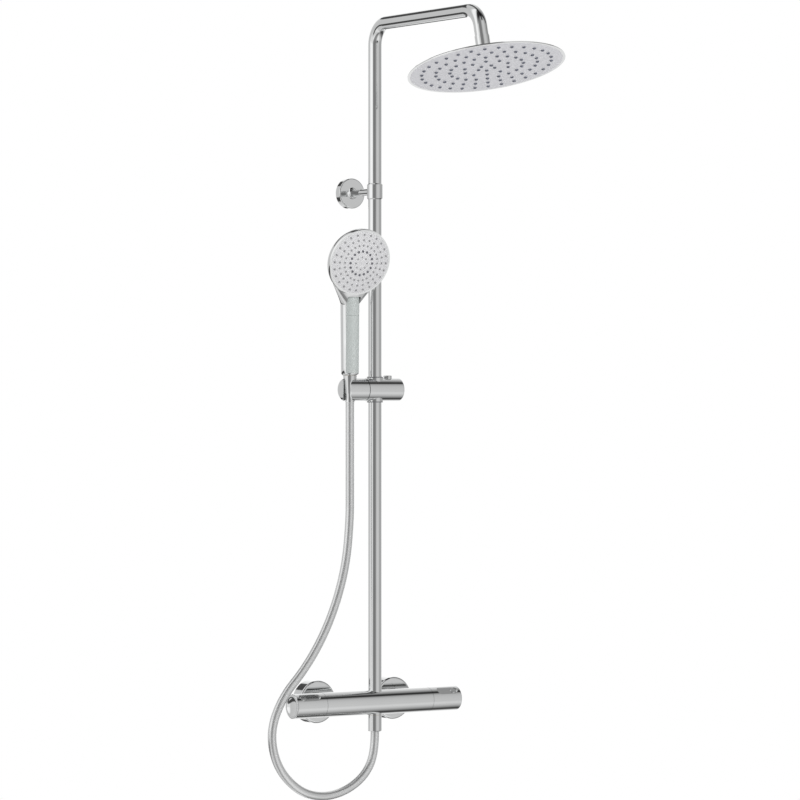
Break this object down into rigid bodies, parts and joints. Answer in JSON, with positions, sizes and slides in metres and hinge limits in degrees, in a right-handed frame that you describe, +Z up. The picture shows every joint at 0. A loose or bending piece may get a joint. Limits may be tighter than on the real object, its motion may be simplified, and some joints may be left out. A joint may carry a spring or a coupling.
{
  "type": "rainfall shower column",
  "caption": "Wall-hung shower column: thermostatic mixer bar, riser with swivelling arm, ball-jointed round rain head and a handset on a slider, joined by a looping hose.",
  "frame": {"origin": "on the finished wall, midway between the two inlets, at the height of the mixer bar's axis", "axes": "+Z up, -Y out of the wall towards the user, +X to the user's right"},
  "size_m": [0.3767, 0.5319, 1.2769],
  "materials": {
    "chrome": "polished chrome plating",
    "plated_plastic": "bright chrome plating on moulded plastic",
    "hose_sleeve": "smooth silver flexible sleeve",
    "brass": "bare machined brass",
    "seal": "black rubber",
    "bearing_plastic": "dark grey bearing plastic",
    "white_plastic": "white plastic",
    "steel": "plain stainless steel",
    "spray_plate": "satin pale grey with a faint lilac cast",
    "nozzle_rubber": "soft dark blue-grey",
    "inlay": "pale grey, slightly green",
    "spray_face": "light grey",
    "jet_rubber": "soft mid grey"
  },
  "bodies": {
    "column": {"wall_union_left": "brass", "wall_union_right": "brass", "inlet_filter_left": "seal", "inlet_filter_right": "seal", "inlet_nut_left": "chrome", "inlet_nut_right": "chrome", "rosette_left": "chrome", "rosette_right": "chrome", "mixer_body": "chrome", "outlet_nipple": "brass", "hose_washer": "seal", "hose_nut": "chrome", "hose": "hose_sleeve", "flow_cartridge": "bearing_plastic", "temperature_cartridge": "bearing_plastic", "flow_stop_ring": "white_plastic", "temperature_stop_ring": "white_plastic", "riser_tube": "chrome", "riser_nipple": "brass", "swivel_ring": "bearing_plastic", "swivel_spigot": "brass", "spigot_seals": "seal", "bracket_arm": "chrome", "bracket_plate": "steel", "bracket_screw": "steel", "bracket_cover": "chrome"},
    "flow_control": {"flow_knob": "plated_plastic", "flow_spindle": "brass", "flow_cap": "plated_plastic"},
    "flow_stop": {"flow_button": "plated_plastic"},
    "temperature_control": {"temperature_knob": "plated_plastic", "temperature_spindle": "brass", "temperature_cap": "plated_plastic"},
    "temperature_stop": {"temperature_button": "plated_plastic"},
    "arm": {"shower_arm": "chrome", "ball_stem": "chrome"},
    "head_seal": {"ball_seal": "seal"},
    "head_seat": {"ball_seat_ring": "bearing_plastic"},
    "rain_head": {"ball_nut": "chrome", "rain_head_cover": "chrome", "rain_head_face": "spray_plate", "rain_nozzles": "nozzle_rubber"},
    "carriage": {"slider_bushings": "bearing_plastic"},
    "slider": {"slider_body": "plated_plastic"},
    "slider_release": {"release_button": "plated_plastic"},
    "holder": {"handset_holder": "plated_plastic", "tilt_washer": "bearing_plastic"},
    "hose_end": {"hose_cone": "chrome"},
    "handset": {"handset_inlet": "brass", "handset_body": "plated_plastic", "handset_inlay": "inlay", "handset_face": "spray_face", "handset_jets": "jet_rubber"},
    "spray_select": {"select_button": "inlay"}
  },
  "joints": [
    {"name": "flow_turn", "type": "hinge", "parent": "column", "child": "flow_control", "pos_m": [-0.1326, -0.079, 0], "axis": [1, 0, 0], "range_deg": [-90, 90]},
    {"name": "flow_stop_press", "type": "slide", "parent": "flow_control", "child": "flow_stop", "axis": [0, 0.6691, -0.7431], "range_m": [0, 0.002], "stiffness_N_per_m": 1000, "springref_m": -0.002},
    {"name": "temperature_turn", "type": "hinge", "parent": "column", "child": "temperature_control", "pos_m": [0.1326, -0.079, 0], "axis": [1, 0, 0], "range_deg": [-120, 45]},
    {"name": "temperature_stop_press", "type": "slide", "parent": "temperature_control", "child": "temperature_stop", "axis": [0, 0.6691, -0.7431], "range_m": [0, 0.002], "stiffness_N_per_m": 1000, "springref_m": -0.002},
    {"name": "arm_swivel", "type": "hinge", "parent": "column", "child": "arm", "pos_m": [0, -0.079, 0.837], "axis": [0, 0, 1], "range_deg": [-60, 60]},
    {"name": "head_tilt_fore", "type": "hinge", "parent": "arm", "child": "head_seal", "pos_m": [0, -0.39099, 1.03483], "axis": [1, 0, 0], "range_deg": [-12, 12]},
    {"name": "head_tilt_side", "type": "hinge", "parent": "head_seal", "child": "head_seat", "pos_m": [0, -0.39099, 1.03483], "axis": [0, 0.9703, -0.2419], "range_deg": [-12, 12]},
    {"name": "head_spin", "type": "hinge", "parent": "head_seat", "child": "rain_head", "pos_m": [0, -0.39099, 1.03483], "axis": [0, 0.2419, 0.9703], "continuous": true},
    {"name": "slider_height", "type": "slide", "parent": "column", "child": "carriage", "axis": [0, 0, 1], "range_m": [-0.38, 0.24], "deforming": ["hose"]},
    {"name": "slider_turn", "type": "hinge", "parent": "carriage", "child": "slider", "pos_m": [0, -0.079, 0.5123], "axis": [0, 0, 1], "range_deg": [-15, 90]},
    {"name": "slider_release_press", "type": "slide", "parent": "slider", "child": "slider_release", "axis": [0, 0, -1], "range_m": [0, 0.003], "stiffness_N_per_m": 1000, "springref_m": -0.003},
    {"name": "holder_tilt", "type": "hinge", "parent": "slider", "child": "holder", "pos_m": [-0.0206, -0.079, 0.5123], "axis": [1, 0, 0], "range_deg": [0, 20]},
    {"name": "handset_lift", "type": "slide", "parent": "holder", "child": "hose_end", "axis": [0, 0, 1], "range_m": [0, 0.032]},
    {"name": "handset_turn", "type": "hinge", "parent": "hose_end", "child": "handset", "pos_m": [-0.049, -0.079, 0.535], "axis": [0, 0, 1], "range_deg": [-85, 5]},
    {"name": "spray_select_press", "type": "slide", "parent": "handset", "child": "spray_select", "axis": [0.0872, 0.9962, 0], "range_m": [0, 0.0015], "stiffness_N_per_m": 1500, "springref_m": -0.0015}
  ]
}
